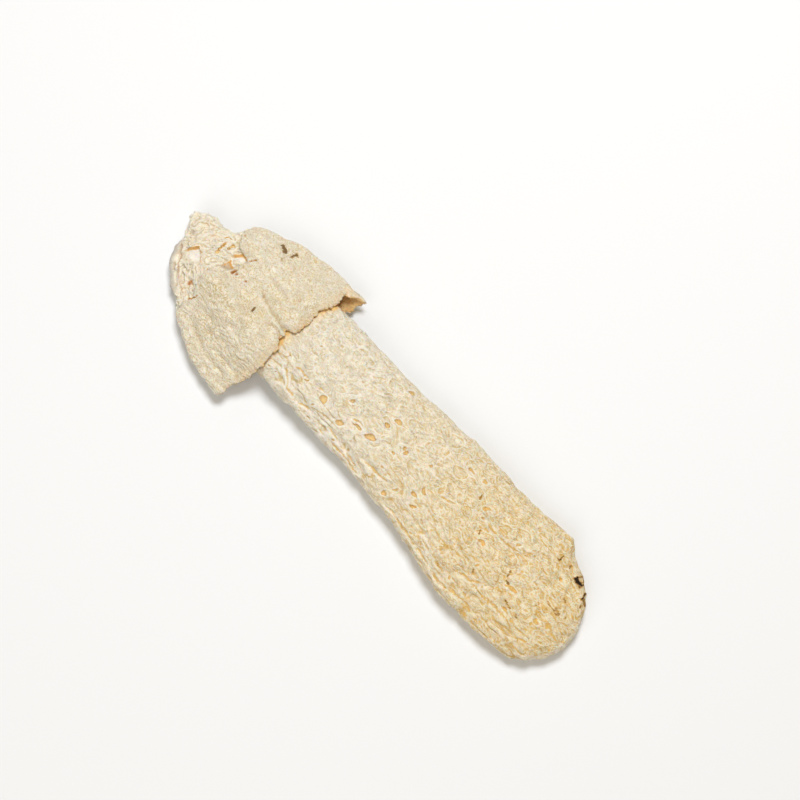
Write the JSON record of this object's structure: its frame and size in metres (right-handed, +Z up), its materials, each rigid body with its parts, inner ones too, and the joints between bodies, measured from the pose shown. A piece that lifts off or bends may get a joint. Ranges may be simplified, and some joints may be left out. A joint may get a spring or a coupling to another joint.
{
  "type": "dried bamboo fungus",
  "caption": "Dried bamboo fungus lying flat: a pressed spongy stipe with pores and folds, its top end inside a ragged bell-shaped cap.",
  "frame": {"origin": "middle of the footprint, on the surface the fungus lies on", "axes": "+X along the body from the cap's tip to the foot, +Z up"},
  "size_m": [0.1791, 0.0549, 0.0152],
  "materials": {
    "stipe_sponge": "dry matt cream sponge, amber in its pores and towards the foot",
    "cap_felt": "dry matt tan felt with a fine raised net, paler round the tip"
  },
  "bodies": {
    "root": {"stipe": "stipe_sponge", "cap": "cap_felt"}
  },
  "joints": []
}
